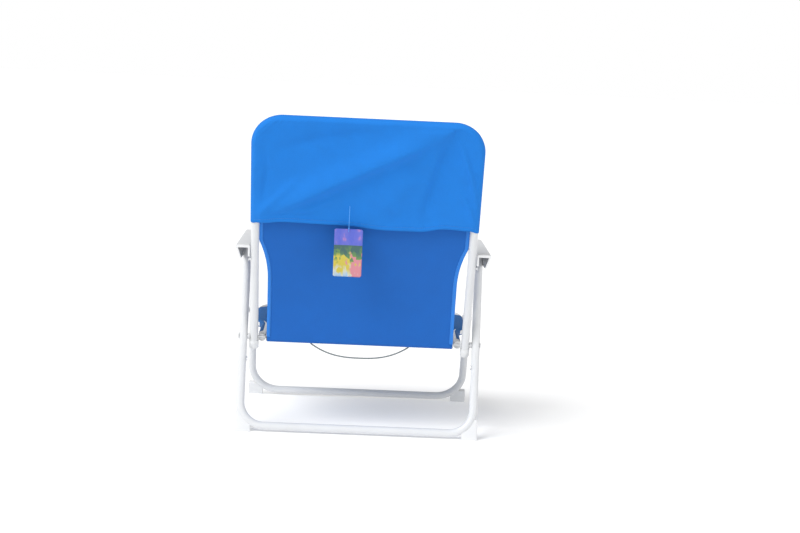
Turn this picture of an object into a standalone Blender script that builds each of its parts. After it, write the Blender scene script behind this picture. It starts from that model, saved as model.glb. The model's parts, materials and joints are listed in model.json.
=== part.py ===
"""Low folding beach chair with a fabric hood over the back: frame, pivots, armrests, slings and trim.

Metres, +Z up. The chair faces -Y, +X is the sitter's left, and the origin is on the floor at the middle of
the footprint. The seat, the back, the two armrests and the front leg loop form a parallelogram that folds
forward about the rear pivot; the rear leg loop swings on the same rear pivot.
"""

import math

import bmesh
import bpy
from mathutils import Matrix, Vector

# Driving dimensions: side view, as (y, z) of the middle of each pivot or tube.
LEG_BAR_Z = 0.0125
REAR_BAR_Y = 0.1288
FRONT_BAR_Y = -0.2597
REAR_PIVOT = Vector((0.0846, 0.2100))
BACK_LEAN = math.radians(19.0)
FRONT_PIVOT_Z = 0.2255
ARM_LINK = 0.1970
BACK_LENGTH = 0.5310
BACK_TAIL = 0.0260
SEAT_BAR_Y = -0.2312

# Half the spacing between the left and right tubes, middle to middle.
REAR_LEG_X = 0.2655
FRONT_LEG_X = 0.2632
BACK_X = 0.2410
SEAT_FRONT_X = 0.2415
SEAT_REAR_X = 0.2225

# Tubes.
REAR_TUBE_R = 0.0095
FRONT_TUBE_R = 0.0090
BACK_TUBE_R = 0.0093
SEAT_TUBE_R = 0.0085
CROSSBAR_R = 0.0090
REAR_BEND = 0.0550
FRONT_BEND = 0.0660
BACK_BEND = 0.0580
SEAT_BEND = 0.0450
TUBE_SIDES = 6

# Plastic feet: the web's thickness, its width along the bar, and how far up each loop it reaches.
FOOT_T = 0.0130
FOOT_WIDTH = 0.0360
FOOT_OVERHANG = 0.0007
REAR_FOOT_TOP = 0.0330
FRONT_FOOT_TOP = 0.0200

# Gaps and small hardware.
GAP = 0.0003
PIN_R = 0.0030
HEAD_R = 0.0065
HEAD_T = 0.0022
TURN_STEPS = 20

# Armrest shell: side planes, ends, heights and walls.
ARM_INNER_X = 0.2525
ARM_OUTER_X = 0.2840
ARM_FRONT_Y = -0.1542
ARM_REAR_Y = 0.1618
ARM_TOP_Z = 0.4285
ARM_LOW_Z = 0.3900
ARM_SIDE_WALL = 0.0015
ARM_ROOF = 0.0025
ARM_RIB_DEPTH = 0.0040
ARM_RIB_T = 0.0025
ARM_RIBS = (0.0890, 0.1345, 0.1780, 0.2120, 0.2640)

# Fabric.
SLING_T = 0.0040
HOOD_WALL = 0.0010
HOOD_HEM = 0.2860
CORD_R = 0.0016
CORD_HALF_SPAN = 0.1120
CORD_SAG = 0.0300

# Swing tag.
TAG_X = 0.0350
TAG_WIDTH = 0.0620
TAG_HEIGHT = 0.1050
TAG_T = 0.0010
TAG_ANCHOR_Z = 0.5290
TAG_TOP_Z = 0.4790

BACK_DIR = Vector((math.sin(BACK_LEAN), math.cos(BACK_LEAN)))
BACK_NORMAL = Vector((math.cos(BACK_LEAN), -math.sin(BACK_LEAN)))
FRONT_PIVOT = Vector((FRONT_BAR_Y + (FRONT_PIVOT_Z - LEG_BAR_Z) * math.tan(BACK_LEAN), FRONT_PIVOT_Z))
ARM_REAR_PIVOT = REAR_PIVOT + BACK_DIR * ARM_LINK
ARM_FRONT_PIVOT = FRONT_PIVOT + BACK_DIR * ARM_LINK
SEAT_DIR = (REAR_PIVOT - FRONT_PIVOT).normalized()
SEAT_NORMAL = Vector((-SEAT_DIR.y, SEAT_DIR.x))
REAR_LEG_DIR = (REAR_PIVOT - Vector((REAR_BAR_Y, LEG_BAR_Z))).normalized()
SIDES = (("left", 1), ("right", -1))


def clear_scene():
    for thing in list(bpy.data.objects):
        bpy.data.objects.remove(thing, do_unlink=True)


def collection(name):
    made = bpy.data.collections.new(name)
    bpy.context.scene.collection.children.link(made)
    return made


def material(name, colour, roughness, metallic=0.0):
    made = bpy.data.materials.new(name)
    made.use_nodes = True
    shader = made.node_tree.nodes["Principled BSDF"]
    shader.inputs["Base Color"].default_value = (*colour, 1.0)
    shader.inputs["Roughness"].default_value = roughness
    shader.inputs["Metallic"].default_value = metallic
    return made


def pivot(name, x, place):
    """An empty on a joint's axis. It carries the pieces that turn about it."""
    empty = bpy.data.objects.new(name, None)
    empty.empty_display_size = 0.02
    empty.location = (x, place.x, place.y)
    CHAIR.objects.link(empty)
    return empty


def finish(name, mesh, look, carrier):
    """Makes the object of a sub-part from a mesh in world places, and hangs it on its body's pivot."""
    made = bpy.data.objects.new(name, mesh)
    CHAIR.objects.link(made)
    mesh.materials.clear()
    mesh.materials.append(look)
    for face in mesh.polygons:
        face.use_smooth = True
    mesh.set_sharp_from_angle(angle=math.radians(40))
    made.parent = carrier
    made.matrix_parent_inverse = Matrix.Translation(carrier.location).inverted()
    return made


def mesh_of(maker):
    """The mesh that a bmesh-filling function makes."""
    shape = bmesh.new()
    maker(shape)
    bmesh.ops.recalc_face_normals(shape, faces=shape.faces)
    mesh = bpy.data.meshes.new("shape")
    shape.to_mesh(mesh)
    shape.free()
    return mesh


def curve_mesh(curve, matrix=None):
    """The welded mesh of a curve data block, and the curve is removed."""
    holder = bpy.data.objects.new("curve", curve)
    CHAIR.objects.link(holder)
    graph = bpy.context.evaluated_depsgraph_get()
    mesh = bpy.data.meshes.new_from_object(holder.evaluated_get(graph))
    bpy.data.objects.remove(holder, do_unlink=True)
    bpy.data.curves.remove(curve)
    shape = bmesh.new()
    shape.from_mesh(mesh)
    bmesh.ops.remove_doubles(shape, verts=shape.verts, dist=0.00005)
    if matrix is not None:
        bmesh.ops.transform(shape, matrix=matrix, verts=shape.verts)
    bmesh.ops.recalc_face_normals(shape, faces=shape.faces)
    shape.to_mesh(mesh)
    shape.free()
    return mesh


def tube_mesh(points, radius, sides=TUBE_SIDES):
    curve = bpy.data.curves.new("tube", "CURVE")
    curve.dimensions = "3D"
    curve.bevel_depth = radius
    curve.bevel_resolution = sides
    curve.use_fill_caps = True
    spline = curve.splines.new("POLY")
    spline.points.add(len(points) - 1)
    for spot, place in zip(spline.points, points):
        spot.co = (*place, 1.0)
    return curve_mesh(curve)


def plate_mesh(outline, thickness, matrix):
    """A flat plate from a closed outline of (x, s) points, laid in the plane of the matrix."""
    curve = bpy.data.curves.new("plate", "CURVE")
    curve.dimensions = "2D"
    curve.fill_mode = "BOTH"
    curve.extrude = thickness / 2
    spline = curve.splines.new("POLY")
    spline.points.add(len(outline) - 1)
    spline.use_cyclic_u = True
    for spot, (x, s) in zip(spline.points, outline):
        spot.co = (x, s, 0.0, 1.0)
    return curve_mesh(curve, matrix)


def plane(origin, direction, normal, offset=0.0):
    """Matrix of a tilted sheet: local x is world X, local y runs along direction, local z along normal."""
    middle = origin + normal * offset
    return Matrix(
        (
            (1.0, 0.0, 0.0, 0.0),
            (0.0, direction.x, normal.x, middle.x),
            (0.0, direction.y, normal.y, middle.y),
            (0.0, 0.0, 0.0, 1.0),
        )
    )


def along(origin, direction, points):
    """World places of (x, s) points on a line from origin in the side view."""
    return [(x, origin.x + s * direction.x, origin.y + s * direction.y) for x, s in points]


def u_path(half_width, bend, top, steps=7):
    """(x, s) points of a U whose bar is at s = 0 and whose ends are at s = top."""
    side = [(half_width, top)]
    for i in range(steps + 1):
        angle = math.pi / 2 * i / steps
        side.append((half_width - bend + bend * math.cos(angle), bend - bend * math.sin(angle)))
    return side + [(-x, s) for x, s in reversed(side)]


def turned_mesh(profile, x, place, side, steps=TURN_STEPS):
    """A shape turned about the world X axis through place, from (radius, distance out of x) points.

    The profile runs from the outer end of the axis to the inner one. Side is 1 left and -1 right.
    """
    mesh = bpy.data.meshes.new("profile")
    verts = [(radius, 0.0, out) for radius, out in profile]
    closed = profile[0][0] > 0
    edges = [(i, i + 1) for i in range(len(verts) - 1)]
    if closed:
        edges.append((len(verts) - 1, 0))
    mesh.from_pydata(verts, edges, [])
    holder = bpy.data.objects.new("profile", mesh)
    CHAIR.objects.link(holder)
    screw = holder.modifiers.new("Turn", "SCREW")
    screw.axis = "Z"
    screw.steps = steps
    screw.render_steps = steps
    screw.use_merge_vertices = True
    screw.merge_threshold = 0.00005
    graph = bpy.context.evaluated_depsgraph_get()
    made = bpy.data.meshes.new_from_object(holder.evaluated_get(graph))
    bpy.data.objects.remove(holder, do_unlink=True)
    bpy.data.meshes.remove(mesh)
    turn = Matrix.Rotation(math.radians(90 * side), 4, "Y")
    move = Matrix.Translation((side * x, place.x, place.y))
    shape = bmesh.new()
    shape.from_mesh(made)
    bmesh.ops.transform(shape, matrix=move @ turn, verts=shape.verts)
    bmesh.ops.recalc_face_normals(shape, faces=shape.faces)
    shape.to_mesh(made)
    shape.free()
    return made


def box_mesh(low, high, matrix=None, bevel=0.0):
    """A box between two corners, with its edges rounded by bevel, moved by matrix."""

    def fill(shape):
        bmesh.ops.create_cube(shape, size=1.0)
        size = [b - a for a, b in zip(low, high)]
        middle = [(a + b) / 2 for a, b in zip(low, high)]
        bmesh.ops.scale(shape, vec=size, verts=shape.verts)
        bmesh.ops.translate(shape, vec=middle, verts=shape.verts)
        if bevel:
            bmesh.ops.bevel(
                shape, geom=shape.edges[:], offset=bevel, segments=2, profile=0.5, affect="EDGES"
            )
        if matrix is not None:
            bmesh.ops.transform(shape, matrix=matrix, verts=shape.verts)

    return mesh_of(fill)


def cut(target, name, mesh):
    """Cuts a closed mesh out of the target with a Boolean whose cutter stays hidden."""
    cutter = bpy.data.objects.new(f"{target.name}_{name}", mesh)
    CUTTERS.objects.link(cutter)
    cutter.hide_render = True
    cutter.display_type = "WIRE"
    boolean = target.modifiers.new(name, "BOOLEAN")
    boolean.operation = "DIFFERENCE"
    boolean.solver = "EXACT"
    boolean.object = cutter


def drill(target, name, place, x, length=0.06):
    """A hole for a pivot pin along X through place, centred on x."""
    radius = PIN_R + GAP
    profile = [(0.0, length / 2), (radius, length / 2), (radius, -length / 2), (0.0, -length / 2)]
    cut(target, name, turned_mesh(profile, abs(x), place, 1 if x > 0 else -1, 16))


def pin_mesh(place, side, inner_x, outer_x, head_r=HEAD_R, head_t=HEAD_T):
    """A domed rivet: its head lies outside outer_x and its shaft reaches in to inner_x."""
    shaft = inner_x - outer_x
    profile = [
        (0.0, GAP + head_t),
        (head_r * 0.70, GAP + head_t * 0.80),
        (head_r, GAP + head_t * 0.25),
        (head_r, GAP),
        (PIN_R, GAP),
        (PIN_R, shaft),
        (0.0, shaft),
    ]
    return turned_mesh(profile, outer_x, place, side)


def ring_mesh(place, side, inner_x, outer_x, radius):
    """A spacer ring round a pivot pin."""
    hole = PIN_R + GAP
    width = outer_x - inner_x
    return turned_mesh([(radius, width), (radius, 0.0), (hole, 0.0), (hole, width)], inner_x, place, side)


def leg_loop(name, bar_y, half_width, bend, radius, direction, top, carrier):
    path = along(Vector((bar_y, LEG_BAR_Z)), direction, u_path(half_width, bend, top))
    return finish(name, tube_mesh(path, radius), FRAME, carrier)


def foot(name, side, bar_y, half_width, bend, radius, direction, height, carrier):
    """A plastic web that fills the outside of a loop's corner, grooved for the tube and flat on the floor."""
    outer = half_width + radius + FOOT_OVERHANG
    arc = bend + 0.0005
    below = -0.03
    middle = half_width - bend
    start = math.asin((height - bend) / arc)
    end = -math.acos((outer - FOOT_WIDTH - middle) / arc)
    steps = 8
    outline = [(outer, below), (outer, height)]
    for i in range(steps + 1):
        angle = start + (end - start) * i / steps
        outline.append((middle + arc * math.cos(angle), bend + arc * math.sin(angle)))
    outline.append((outer - FOOT_WIDTH, below))
    origin = Vector((bar_y, LEG_BAR_Z))
    frame = plane(origin, direction, Vector((direction.y, -direction.x)))
    web = plate_mesh([(side * x, s) for x, s in outline], FOOT_T, frame)
    shoe = finish(name, web, PLASTIC, carrier)
    path = along(origin, direction, u_path(half_width, bend, 0.12, 10))
    cut(shoe, "groove", tube_mesh(path, radius + GAP))
    cut(shoe, "floor", box_mesh((-0.4, bar_y - 0.1, -0.1), (0.4, bar_y + 0.1, 0.0)))
    return shoe


def make_seat(carrier):
    rear = (REAR_PIVOT - Vector((SEAT_BAR_Y, 0.0))).x / SEAT_DIR.x
    bar = REAR_PIVOT - SEAT_DIR * rear
    tail = 0.0070
    half = [
        (SEAT_REAR_X, rear + tail),
        (SEAT_REAR_X, rear - 0.0980),
        (SEAT_REAR_X + 0.0030, rear - 0.1100),
        (SEAT_FRONT_X - 0.0030, rear - 0.1420),
    ]
    corner = u_path(SEAT_FRONT_X, SEAT_BEND, rear - 0.1540)
    points = half + corner + [(-x, s) for x, s in reversed(half)]
    rail = finish("seat_rail_tube", tube_mesh(along(bar, SEAT_DIR, points), SEAT_TUBE_R), FRAME, carrier)
    for word, side in SIDES:
        drill(rail, f"rear_hole_{word}", REAR_PIVOT, side * SEAT_REAR_X, 0.03)
        drill(rail, f"front_hole_{word}", FRONT_PIVOT, side * SEAT_FRONT_X, 0.03)
    reach = SEAT_REAR_X - SEAT_TUBE_R - GAP
    ends = [(x, REAR_PIVOT.x, REAR_PIVOT.y) for x in (reach, -reach)]
    finish("rear_crossbar", tube_mesh(ends, CROSSBAR_R), FRAME, carrier)
    wide = SEAT_FRONT_X - SEAT_TUBE_R - 2 * GAP
    slim = SEAT_REAR_X - SEAT_TUBE_R - 2 * GAP
    front = SEAT_TUBE_R + 2 * GAP
    inner = SEAT_BEND - SEAT_TUBE_R
    side_line = [(slim, rear - 0.0140), (slim, rear - 0.1120), (wide, rear - 0.1560)]
    for i in range(6):
        angle = math.pi / 2 * i / 5
        side_line.append(
            (wide - inner + inner * math.cos(angle), front + inner - inner * math.sin(angle))
        )
    outline = side_line + [(-x, s) for x, s in reversed(side_line)]
    sheet = plane(bar, SEAT_DIR, SEAT_NORMAL, -0.0005 - SLING_T / 2)
    finish("seat_sling", plate_mesh(outline, SLING_T, sheet), SEAT_CLOTH, carrier)
    for word, side in SIDES:
        outer = REAR_LEG_X + REAR_TUBE_R
        inner_x = SEAT_REAR_X - SEAT_TUBE_R + 0.0010
        finish(f"rear_pivot_pin_{word}", pin_mesh(REAR_PIVOT, side, inner_x, outer), STEEL, carrier)
        low, high = BACK_X + BACK_TUBE_R + GAP, REAR_LEG_X - REAR_TUBE_R - GAP
        spacer = ring_mesh(REAR_PIVOT, side, low, high, 0.0065)
        finish(f"rear_pivot_spacer_{word}", spacer, NYLON, carrier)
        outer = FRONT_LEG_X + FRONT_TUBE_R
        inner_x = SEAT_FRONT_X - SEAT_TUBE_R + 0.0030
        finish(f"front_pivot_pin_{word}", pin_mesh(FRONT_PIVOT, side, inner_x, outer), STEEL, carrier)
        low, high = SEAT_FRONT_X + SEAT_TUBE_R + GAP, FRONT_LEG_X - FRONT_TUBE_R - GAP
        washer = ring_mesh(FRONT_PIVOT, side, low, high, 0.0080)
        finish(f"front_pivot_washer_{word}", washer, NYLON, carrier)


def make_cord(carrier):
    """The carry cord: a slack cord tied to the rear crossbar, hanging in a shallow bow below it."""
    top = REAR_PIVOT.y - CROSSBAR_R - CORD_R - GAP
    count = 41
    points = []
    for i in range(count):
        t = 2.0 * i / (count - 1) - 1.0
        drop = CORD_SAG * (1.0 - abs(t) ** 2.6)
        points.append((CORD_HALF_SPAN * t, REAR_PIVOT.x, top - drop))
    finish("carry_cord", tube_mesh(points, CORD_R, 2), CORD, carrier)


def make_back(carrier):
    arch = u_path(BACK_X, BACK_BEND, BACK_LENGTH + BACK_TAIL, 9)
    path = along(REAR_PIVOT, BACK_DIR, [(x, BACK_LENGTH - s) for x, s in arch])
    tube = finish("back_frame_tube", tube_mesh(path, BACK_TUBE_R), FRAME, carrier)
    for word, side in SIDES:
        drill(tube, f"rear_hole_{word}", REAR_PIVOT, side * BACK_X, 0.03)
        drill(tube, f"arm_hole_{word}", ARM_REAR_PIVOT, side * BACK_X, 0.03)
        cap_frame = Matrix.Translation((side * BACK_X, 0.0, 0.0)) @ plane(REAR_PIVOT, BACK_DIR, BACK_NORMAL)
        low = -BACK_TAIL - 0.0030
        cup = mesh_of(lambda shape: cylinder(shape, BACK_TUBE_R + 0.0014, low, -0.0085, cap_frame))
        cap = finish(f"back_end_cap_{word}", cup, PLASTIC, carrier)
        bore = mesh_of(lambda shape: cylinder(shape, BACK_TUBE_R + GAP, -BACK_TAIL - GAP, 0.02, cap_frame))
        cut(cap, "bore", bore)
        inner_x = BACK_X - BACK_TUBE_R + 0.0010
        outer_x = ARM_INNER_X + ARM_SIDE_WALL
        rivet = pin_mesh(ARM_REAR_PIVOT, side, inner_x, outer_x, 0.0050, 0.0011)
        finish(f"arm_rear_rivet_{word}", rivet, STEEL, carrier)


def cylinder(shape, radius, low, high, frame):
    """A capped cylinder along the frame's local y, between low and high."""
    bmesh.ops.create_cone(
        shape, cap_ends=True, segments=24, radius1=radius, radius2=radius, depth=high - low
    )
    lay = Matrix.Translation((0.0, (low + high) / 2, 0.0)) @ Matrix.Rotation(math.radians(-90), 4, "X")
    bmesh.ops.transform(shape, matrix=frame @ lay, verts=shape.verts)


def rounded_top(half_width, radius, low, high, steps=8):
    """(x, s) outline of a panel with two rounded top corners."""
    side = [(half_width, low)]
    for i in range(steps + 1):
        angle = math.pi / 2 * i / steps
        corner = (radius * math.cos(angle) - radius, radius * math.sin(angle) - radius)
        side.append((half_width + corner[0], high + corner[1]))
    return side + [(-x, s) for x, s in reversed(side)]


def make_slings(carrier):
    inner = BACK_X - BACK_TUBE_R - 2 * GAP
    slim = 0.2115
    cut_top = 0.2440
    cut_low = 0.1500
    top = BACK_LENGTH - BACK_TUBE_R - 2 * GAP
    panel = rounded_top(inner, BACK_BEND - BACK_TUBE_R, cut_top, top)
    middle = len(panel) // 2
    waist = []
    for i in range(7):
        t = i / 6
        waist.append((slim + (inner - slim) * t**2.2, cut_low + (cut_top - cut_low) * t))
    left = [(slim, CROSSBAR_R + 2 * GAP + 0.003), *waist[:-1]]
    outline = left + panel[:middle] + panel[middle:] + [(-x, s) for x, s in reversed(left)]
    sheet = plane(REAR_PIVOT, BACK_DIR, BACK_NORMAL)
    finish("back_sling", plate_mesh(outline, SLING_T, sheet), BACK_CLOTH, carrier)
    outer = BACK_X + BACK_TUBE_R + GAP
    shell = plate_mesh(
        rounded_top(outer + HOOD_WALL, BACK_BEND + BACK_TUBE_R + GAP + HOOD_WALL, HOOD_HEM,
                    BACK_LENGTH + BACK_TUBE_R + GAP + HOOD_WALL),
        2 * (BACK_TUBE_R + GAP + HOOD_WALL), sheet)
    hood = finish("hood", shell, HOOD_CLOTH, carrier)
    cut(hood, "pocket", plate_mesh(
        rounded_top(outer, BACK_BEND + BACK_TUBE_R + GAP, HOOD_HEM - 0.02, BACK_LENGTH + BACK_TUBE_R + GAP),
        2 * (BACK_TUBE_R + GAP), sheet))


def make_front_legs(carrier):
    top = (FRONT_PIVOT - Vector((FRONT_BAR_Y, LEG_BAR_Z))).length + ARM_LINK + 0.0080
    loop = leg_loop(
        "front_leg_loop", FRONT_BAR_Y, FRONT_LEG_X, FRONT_BEND, FRONT_TUBE_R, BACK_DIR, top, carrier)
    for word, side in SIDES:
        drill(loop, f"seat_hole_{word}", FRONT_PIVOT, side * FRONT_LEG_X, 0.03)
        drill(loop, f"arm_hole_{word}", ARM_FRONT_PIVOT, side * FRONT_LEG_X, 0.03)
        foot(f"front_foot_{word}", side, FRONT_BAR_Y, FRONT_LEG_X, FRONT_BEND, FRONT_TUBE_R, BACK_DIR,
             FRONT_FOOT_TOP, carrier)


def make_rear_legs(carrier):
    bar = Vector((REAR_BAR_Y, LEG_BAR_Z))
    top = (0.4140 - LEG_BAR_Z) / REAR_LEG_DIR.y
    loop = leg_loop(
        "rear_leg_loop", REAR_BAR_Y, REAR_LEG_X, REAR_BEND, REAR_TUBE_R, REAR_LEG_DIR, top, carrier)
    normal = Vector((REAR_LEG_DIR.y, -REAR_LEG_DIR.x))
    stop = bar + REAR_LEG_DIR * ((0.1600 - LEG_BAR_Z) / REAR_LEG_DIR.y)
    for word, side in SIDES:
        drill(loop, f"pivot_hole_{word}", REAR_PIVOT, side * REAR_LEG_X, 0.03)
        drill(loop, f"stop_hole_{word}", stop, side * REAR_LEG_X, 0.03)
        foot(f"rear_foot_{word}", side, REAR_BAR_Y, REAR_LEG_X, REAR_BEND, REAR_TUBE_R, REAR_LEG_DIR,
             REAR_FOOT_TOP, carrier)
        frame = Matrix.Translation((side * REAR_LEG_X, 0.0, 0.0)) @ plane(bar, REAR_LEG_DIR, normal)
        plug = mesh_of(lambda shape: cylinder(shape, REAR_TUBE_R, top + GAP, top + 0.0055, frame))
        finish(f"rear_leg_plug_{word}", plug, PLASTIC, carrier)
        # The stop rivet's head faces the middle of the chair.
        profile = [
            (0.0, -GAP - 0.0030), (0.0045, -GAP - 0.0022), (0.0055, -GAP), (PIN_R, -GAP),
            (PIN_R, 0.0150), (0.0, 0.0150)]
        inner_x = REAR_LEG_X - REAR_TUBE_R
        rivet = turned_mesh(list(reversed(profile)), inner_x, stop, side)
        finish(f"leg_stop_rivet_{word}", rivet, STEEL, carrier)


def make_arm(word, side, carrier):
    low = (ARM_INNER_X, ARM_FRONT_Y, ARM_LOW_Z)
    high = (ARM_OUTER_X, ARM_REAR_Y, ARM_TOP_Z)
    mirror = Matrix.Diagonal((side, 1.0, 1.0, 1.0))

    def block(a, b, bevel=0.0):
        return box_mesh(a, b, mirror, bevel)

    arm = finish(f"armrest_{word}", block(low, high, 0.0012), PLASTIC, carrier)
    in_x, out_x = ARM_INNER_X + ARM_SIDE_WALL, ARM_OUTER_X - ARM_SIDE_WALL
    open_y = ARM_REAR_Y + 0.02
    rib_z = ARM_TOP_Z - ARM_ROOF - ARM_RIB_DEPTH
    front_y = ARM_FRONT_Y + 0.0020
    cut(arm, "channel", block((in_x, front_y, ARM_LOW_Z - 0.02), (out_x, open_y, rib_z)))
    starts = [front_y] + [ARM_FRONT_Y + rib + ARM_RIB_T / 2 for rib in ARM_RIBS]
    ends = [ARM_FRONT_Y + rib - ARM_RIB_T / 2 for rib in ARM_RIBS] + [open_y]
    for i, (start, end) in enumerate(zip(starts, ends)):
        cut(arm, f"pocket_{i}", block((in_x, start, rib_z - 0.003), (out_x, end, ARM_TOP_Z - ARM_ROOF)))
    drill(arm, "front_hole", ARM_FRONT_PIVOT, side * (ARM_INNER_X + ARM_OUTER_X) / 2)
    drill(arm, "rear_hole", ARM_REAR_PIVOT, side * ARM_INNER_X, 0.012)
    pin = pin_mesh(ARM_FRONT_PIVOT, side, ARM_INNER_X + 0.0003, ARM_OUTER_X)
    finish(f"arm_front_pin_{word}", pin, STEEL, carrier)


def make_tag(carrier):
    y = tag_anchor().x
    half = TAG_WIDTH / 2
    low = (TAG_X - half, y - TAG_T / 2, TAG_TOP_Z - TAG_HEIGHT)
    card = box_mesh(low, (TAG_X + half, y + TAG_T / 2, TAG_TOP_Z))
    finish("swing_tag", card, CARD, carrier)
    ends = [(TAG_X, y, TAG_ANCHOR_Z), (TAG_X, y, TAG_TOP_Z + GAP)]
    finish("tag_string", tube_mesh(ends, 0.0007, 2), CORD, carrier)


def tag_anchor():
    """Where the tag's string leaves the rear face of the hood, as (y, z)."""
    out = BACK_TUBE_R + HOOD_WALL + 0.0028
    base = REAR_PIVOT + BACK_NORMAL * out
    return base + BACK_DIR * ((TAG_ANCHOR_Z - base.y) / BACK_DIR.y)


clear_scene()
CHAIR = collection("beach_chair")
CUTTERS = collection("cutters")
FRAME = material("frame_paint", (0.80, 0.81, 0.82), 0.35)
PLASTIC = material("plastic_white", (0.84, 0.84, 0.83), 0.45)
NYLON = material("nylon", (0.55, 0.56, 0.57), 0.5)
STEEL = material("steel", (0.62, 0.63, 0.65), 0.3, 1.0)
SEAT_CLOTH = material("seat_cloth", (0.010, 0.060, 0.260), 0.85)
BACK_CLOTH = material("back_cloth", (0.020, 0.150, 0.530), 0.85)
HOOD_CLOTH = material("hood_cloth", (0.020, 0.200, 0.700), 0.85)
CARD = material("tag_card", (0.45, 0.40, 0.75), 0.5)
CORD = material("cord", (0.06, 0.06, 0.06), 0.8)

seat_pivot = pivot("seat_origin", 0.0, REAR_PIVOT)
back_pivot = pivot("back_pivot", 0.0, REAR_PIVOT)
front_leg_pivot = pivot("front_leg_pivot", 0.0, FRONT_PIVOT)
rear_leg_pivot = pivot("rear_leg_pivot", 0.0, REAR_PIVOT)
tag_pivot = pivot("tag_pivot", TAG_X, tag_anchor())

make_seat(seat_pivot)
make_cord(seat_pivot)
make_back(back_pivot)
make_slings(back_pivot)
make_front_legs(front_leg_pivot)
make_rear_legs(rear_leg_pivot)
for arm_word, arm_side in SIDES:
    make_arm(arm_word, arm_side, pivot(f"arm_pivot_{arm_word}", arm_side * FRONT_LEG_X, ARM_FRONT_PIVOT))
make_tag(tag_pivot)
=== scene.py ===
"""Looks of the low folding beach chair: painted tubes, moulded parts, sewn slings, hood and tag.

Metres, +Z up, the chair faces -Y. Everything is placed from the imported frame's joints and node boxes.
"""

import json
import math

import bmesh
import bpy
from mathutils import Matrix, Vector, noise


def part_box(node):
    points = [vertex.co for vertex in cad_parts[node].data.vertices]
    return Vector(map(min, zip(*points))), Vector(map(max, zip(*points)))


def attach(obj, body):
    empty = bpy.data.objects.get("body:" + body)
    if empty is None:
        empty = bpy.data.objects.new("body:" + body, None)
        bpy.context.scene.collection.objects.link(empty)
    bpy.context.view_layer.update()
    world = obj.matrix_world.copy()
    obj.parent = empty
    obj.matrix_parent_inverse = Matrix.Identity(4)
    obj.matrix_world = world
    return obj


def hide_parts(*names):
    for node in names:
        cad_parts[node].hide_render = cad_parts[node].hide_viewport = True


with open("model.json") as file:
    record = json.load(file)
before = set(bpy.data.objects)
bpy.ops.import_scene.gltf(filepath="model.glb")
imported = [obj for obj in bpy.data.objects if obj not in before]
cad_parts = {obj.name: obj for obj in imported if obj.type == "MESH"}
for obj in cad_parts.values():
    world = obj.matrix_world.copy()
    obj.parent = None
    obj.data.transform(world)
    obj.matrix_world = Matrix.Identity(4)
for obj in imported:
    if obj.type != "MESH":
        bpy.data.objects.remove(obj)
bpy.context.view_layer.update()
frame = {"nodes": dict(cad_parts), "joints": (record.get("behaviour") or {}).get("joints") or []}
JOINTS = {joint["name"]: joint for joint in frame["joints"]}
SIDES = (("left", 1), ("right", -1))


def joint_place(name):
    """A joint's place in the side view, as (y, z)."""
    return Vector(JOINTS[name]["pos_m"][1:])


def corners(node):
    """The low and high corners of a CAD node's box."""
    low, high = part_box(node)
    return Vector(low), Vector(high)


# Driving dimensions: pivots from the frame's joints, then tube radii, bends and lengths.
REAR_PIVOT = joint_place("back_fold")
FRONT_PIVOT = joint_place("front_leg_fold")
ARM_FRONT_PIVOT = joint_place("arm_left_fold")
BACK_DIR = (ARM_FRONT_PIVOT - FRONT_PIVOT).normalized()
BACK_NORMAL = Vector((BACK_DIR.y, -BACK_DIR.x))
SEAT_DIR = (REAR_PIVOT - FRONT_PIVOT).normalized()
SEAT_NORMAL = Vector((-SEAT_DIR.y, SEAT_DIR.x))
REAR_TUBE_R = 0.0095
FRONT_TUBE_R = 0.0090
BACK_TUBE_R = 0.0093
SEAT_TUBE_R = 0.0085
CROSSBAR_R = 0.0090
REAR_BEND = 0.0550
FRONT_BEND = 0.0660
BACK_BEND = 0.0580
SEAT_BEND = 0.0450
BACK_LENGTH = 0.5310
BACK_TAIL = 0.0260
SEAT_BAR_Y = -0.2312
SEAT_FRONT_X = 0.2415
SEAT_REAR_X = 0.2225
CLOTH_T = 0.0007
WELD = 0.00002

# ---- camera and light

CAMERA_PLACE = Vector((0.0183, 3.5369, 0.8551))
CAMERA_YAW = math.radians(-1.694)
CAMERA_PITCH = math.radians(7.757)
CAMERA_ROLL = math.radians(2.706)
CAMERA_LENS = 69.1
SENSOR_WIDTH = 36.0
# Name, where the light comes from, strength.
LIGHTS = (
    ("soft_sun", Vector((0.62, 0.50, 0.78)), 2.5),
    ("soft_fill", Vector((-0.80, 0.60, 0.30)), 0.45),
)
LIGHT_ANGLE = math.radians(38.0)
HORIZON_STRENGTH = 1.0
ZENITH_STRENGTH = 0.48
FADE_FROM = 0.05
FADE_TO = 0.35
FLOOR_SIZE = 40.0
FLOOR_DROP = 0.0002
FLOOR_GLOW = 0.27



def make_camera():
    data = bpy.data.cameras.new("camera")
    data.lens = CAMERA_LENS
    data.sensor_width = SENSOR_WIDTH
    camera = bpy.data.objects.new("camera", data)
    bpy.context.scene.collection.objects.link(camera)
    ahead = Vector(
        (
            math.sin(CAMERA_YAW) * math.cos(CAMERA_PITCH),
            -math.cos(CAMERA_YAW) * math.cos(CAMERA_PITCH),
            -math.sin(CAMERA_PITCH),
        )
    )
    right = ahead.cross(Vector((0.0, 0.0, 1.0))).normalized()
    up = right.cross(ahead)
    rolled_right = right * math.cos(CAMERA_ROLL) + up * math.sin(CAMERA_ROLL)
    rolled_up = up * math.cos(CAMERA_ROLL) - right * math.sin(CAMERA_ROLL)
    turn = Matrix((rolled_right, rolled_up, -ahead)).transposed().to_4x4()
    camera.matrix_world = Matrix.Translation(CAMERA_PLACE) @ turn
    bpy.context.scene.camera = camera


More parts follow.
